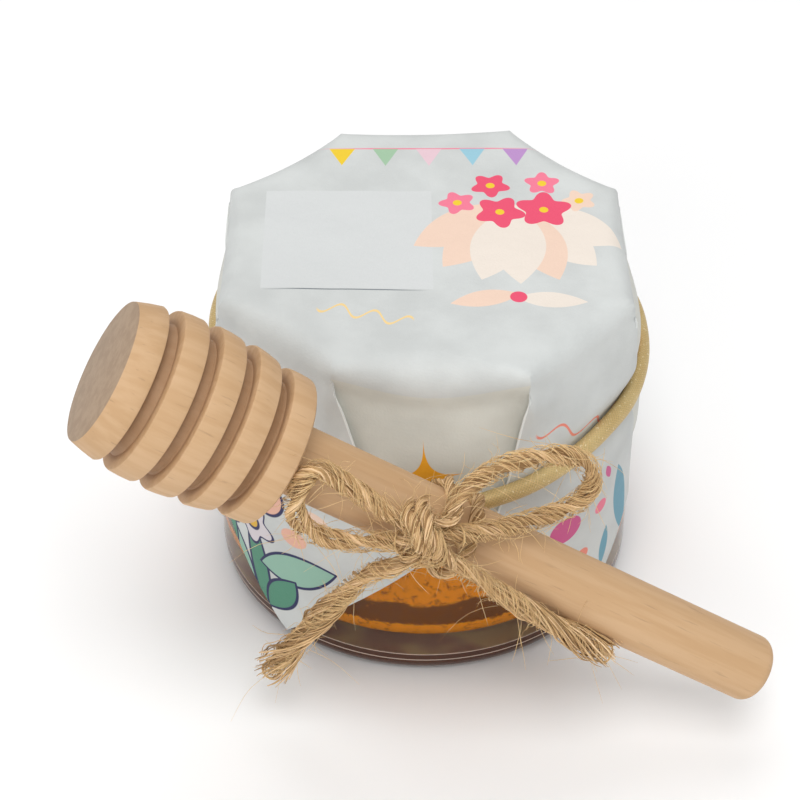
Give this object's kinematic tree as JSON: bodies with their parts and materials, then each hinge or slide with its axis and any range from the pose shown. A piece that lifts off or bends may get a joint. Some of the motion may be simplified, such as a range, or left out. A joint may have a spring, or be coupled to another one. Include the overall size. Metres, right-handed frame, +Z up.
{
  "type": "honey jar",
  "caption": "Small glass honey jar dressed as a gift: folded white paper cover, gold elastic cord, and a wooden honey dipper tied on with a twine bow.",
  "frame": {"origin": "centre of the jar's base, on the surface it stands on", "axes": "+Z up along the jar's axis; -Y is the front, where the honey dipper and the bow are; +X is to the right seen from the front"},
  "size_m": [0.0912, 0.0821, 0.0729],
  "materials": {
    "glass": "clear, polished",
    "honey": "amber honey, clear and glossy",
    "lid": "gold lacquered tinplate, under the paper",
    "paper": "matt white printed paper",
    "gold_cord": "elastic cord covered in gold thread",
    "beech": "bare turned beech",
    "jute": "hairy jute twine"
  },
  "bodies": {
    "root": {"glass_jar": "glass", "honey": "honey", "lid": "lid", "paper_cover": "paper", "gold_cord": "gold_cord", "honey_dipper": "beech", "twine_wrap_left": "jute", "twine_wrap_right": "jute", "twine_knot": "jute", "bow_loop_left": "jute", "bow_loop_right": "jute", "bow_end_left": "jute", "bow_end_right": "jute"}
  },
  "joints": []
}
